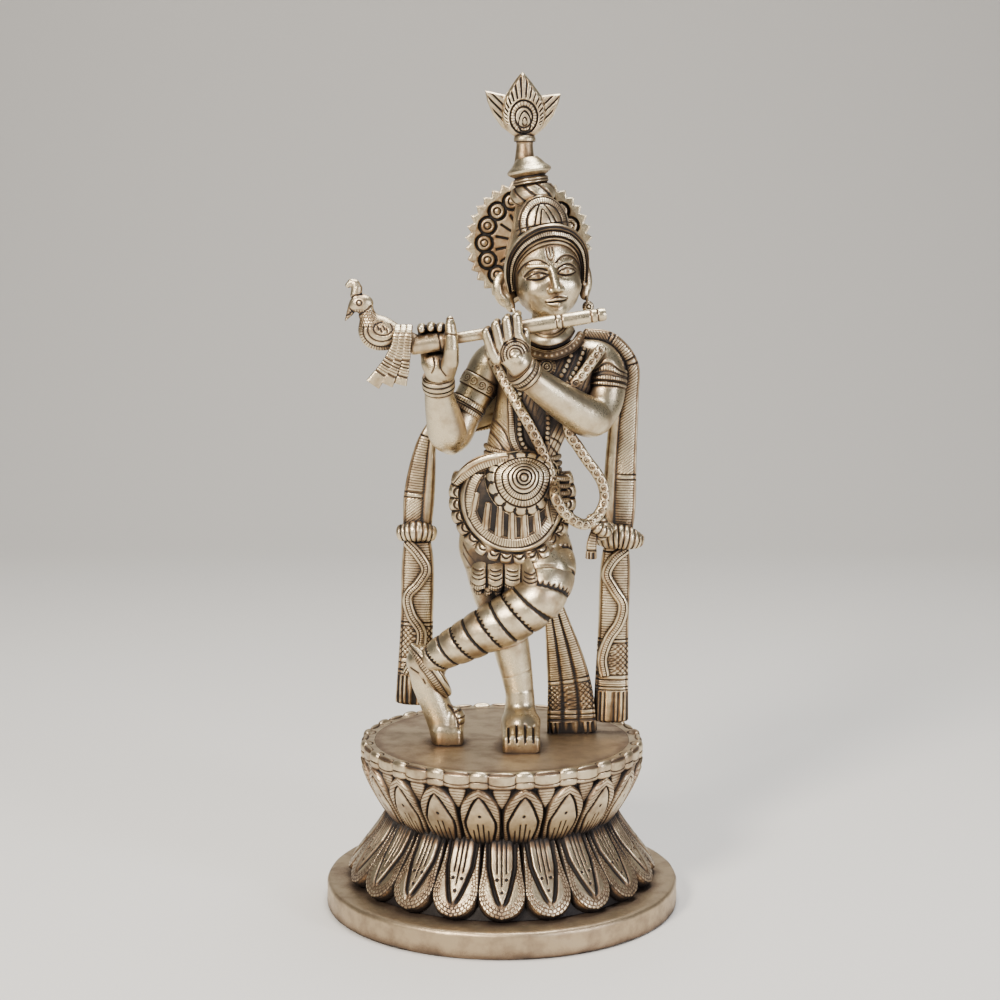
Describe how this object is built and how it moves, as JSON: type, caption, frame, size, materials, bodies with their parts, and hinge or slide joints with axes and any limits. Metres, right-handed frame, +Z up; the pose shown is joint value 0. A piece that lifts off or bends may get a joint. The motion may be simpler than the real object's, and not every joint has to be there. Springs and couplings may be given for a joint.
{
  "type": "hindu deity statue",
  "caption": "Cast brass figure of a flute player standing cross-legged on a double lotus base, with halo, feather crown, garland and hanging shawl.",
  "frame": {"origin": "centre of the round base's underside", "axes": "+Z up, the figure faces -Y, its left side is towards +X"},
  "size_m": [0.142, 0.142, 0.33],
  "materials": {
    "antique_brass": "engraved casting, darkened in the recesses and rubbed bright on the high spots",
    "plain_brass": "turned and brushed, with faint turning marks",
    "steel": "plain zinc-grey hardware"
  },
  "bodies": {
    "root": {"bead_strands": "antique_brass", "belt": "antique_brass", "collar": "antique_brass", "crown_band": "antique_brass", "crown_cap": "antique_brass", "crown_crest": "antique_brass", "crown_knot": "antique_brass", "feather_finial": "antique_brass", "flute": "antique_brass", "flute_tassel": "antique_brass", "garland": "antique_brass", "garland_knot": "antique_brass", "halo": "antique_brass", "halo_screw": "steel", "head": "antique_brass", "hips": "antique_brass", "left_anklet": "antique_brass", "left_armlet": "antique_brass", "left_bracelet": "antique_brass", "left_ear": "antique_brass", "left_earring": "antique_brass", "left_foot": "antique_brass", "left_foot_nut": "steel", "left_foot_stud": "steel", "left_foot_washer": "steel", "left_forearm": "antique_brass", "left_hand": "antique_brass", "left_leg": "antique_brass", "left_shawl_tail": "antique_brass", "left_upper_arm": "antique_brass", "lower_lotus": "antique_brass", "peacock": "antique_brass", "pearl_girdle": "antique_brass", "pendant": "antique_brass", "petal_girdle": "antique_brass", "plinth": "plain_brass", "right_armlet": "antique_brass", "right_bracelet": "antique_brass", "right_ear": "antique_brass", "right_earring": "antique_brass", "right_foot": "antique_brass", "right_foot_nut": "steel", "right_foot_stud": "steel", "right_foot_washer": "steel", "right_forearm": "antique_brass", "right_hand": "antique_brass", "right_leg": "antique_brass", "right_shawl_tail": "antique_brass", "right_upper_arm": "antique_brass", "sash_disc": "antique_brass", "seat_plate": "plain_brass", "shawl_back": "antique_brass", "shawl_knot": "antique_brass", "side_sash": "antique_brass", "skirt_pleats": "antique_brass", "torso": "antique_brass", "upper_lotus": "antique_brass"}
  },
  "joints": []
}
